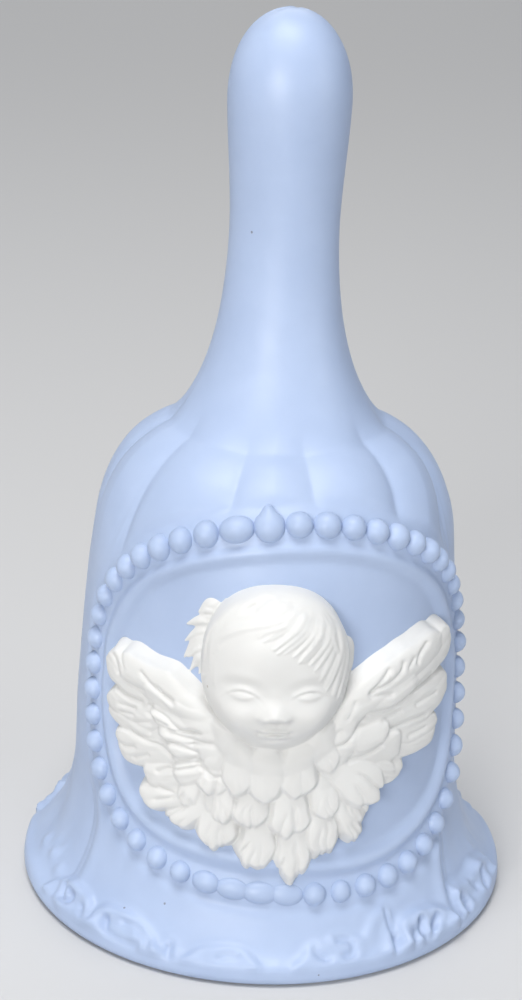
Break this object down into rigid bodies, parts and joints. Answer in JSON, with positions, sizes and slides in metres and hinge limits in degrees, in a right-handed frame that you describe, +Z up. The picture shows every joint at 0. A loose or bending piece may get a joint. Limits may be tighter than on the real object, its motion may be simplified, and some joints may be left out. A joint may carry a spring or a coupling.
{
  "type": "porcelain hand bell",
  "caption": "Bisque porcelain hand bell with a slim handle, a beaded oval around a white winged cherub in relief, and a clapper on a wire chain inside.",
  "frame": {"origin": "centre of the foot ring, on the plane that the bell stands on", "axes": "+Z up along the bell's axis to the tip of the handle, -Y out of the front, where the cherub is, +X to the right of a viewer who faces the front"},
  "size_m": [0.0792, 0.0792, 0.14],
  "materials": {
    "blue_bisque": "satin",
    "white_bisque": "satin",
    "cement": "matte",
    "brass_wire": "satin"
  },
  "bodies": {
    "bell": {"bell_body": "blue_bisque", "cherub_relief": "white_bisque", "crown_plug": "cement", "hanger_staple": "brass_wire"},
    "link_1": {"chain_link_1": "brass_wire"},
    "link_2": {"chain_link_2": "brass_wire"},
    "link_3": {"chain_link_3": "brass_wire"},
    "link_4": {"chain_link_4": "brass_wire"},
    "link_5": {"chain_link_5": "brass_wire"},
    "link_6": {"chain_link_6": "brass_wire"},
    "link_7": {"chain_link_7": "brass_wire"},
    "clapper_pin": {"clapper_pin": "brass_wire"},
    "clapper_ball": {"clapper_ball": "white_bisque"},
    "clapper_washer": {"clapper_washer": "brass_wire"}
  },
  "joints": [
    {"name": "link_1_swing", "type": "hinge", "parent": "bell", "child": "link_1", "pos_m": [0, 0, 0.073], "axis": [1, 0, 0], "range_deg": [-20, 20]},
    {"name": "link_2_swing", "type": "hinge", "parent": "link_1", "child": "link_2", "pos_m": [0, 0, 0.06652], "axis": [0, 1, 0], "range_deg": [-22, 22]},
    {"name": "link_3_swing", "type": "hinge", "parent": "link_2", "child": "link_3", "pos_m": [0, 0, 0.06004], "axis": [-1, 0, 0], "range_deg": [-25, 25]},
    {"name": "link_4_swing", "type": "hinge", "parent": "link_3", "child": "link_4", "pos_m": [0, 0, 0.05356], "axis": [0, -1, 0], "range_deg": [-30, 30]},
    {"name": "link_5_swing", "type": "hinge", "parent": "link_4", "child": "link_5", "pos_m": [0, 0, 0.04708], "axis": [1, 0, 0], "range_deg": [-36, 36]},
    {"name": "link_6_swing", "type": "hinge", "parent": "link_5", "child": "link_6", "pos_m": [0, 0, 0.0406], "axis": [0, 1, 0], "range_deg": [-46, 46]},
    {"name": "link_7_swing", "type": "hinge", "parent": "link_6", "child": "link_7", "pos_m": [0, 0, 0.03412], "axis": [-1, 0, 0], "range_deg": [-64, 64]},
    {"name": "pin_swing", "type": "hinge", "parent": "link_7", "child": "clapper_pin", "pos_m": [0, 0, 0.02764], "axis": [0, -1, 0], "range_deg": [-70, 70]},
    {"name": "ball_spin", "type": "hinge", "parent": "clapper_pin", "child": "clapper_ball", "pos_m": [0, 0, 0.0132], "axis": [0, 0, 1], "continuous": true},
    {"name": "washer_spin", "type": "hinge", "parent": "clapper_pin", "child": "clapper_washer", "pos_m": [0, 0, 0.00545], "axis": [0, 0, 1], "continuous": true}
  ]
}
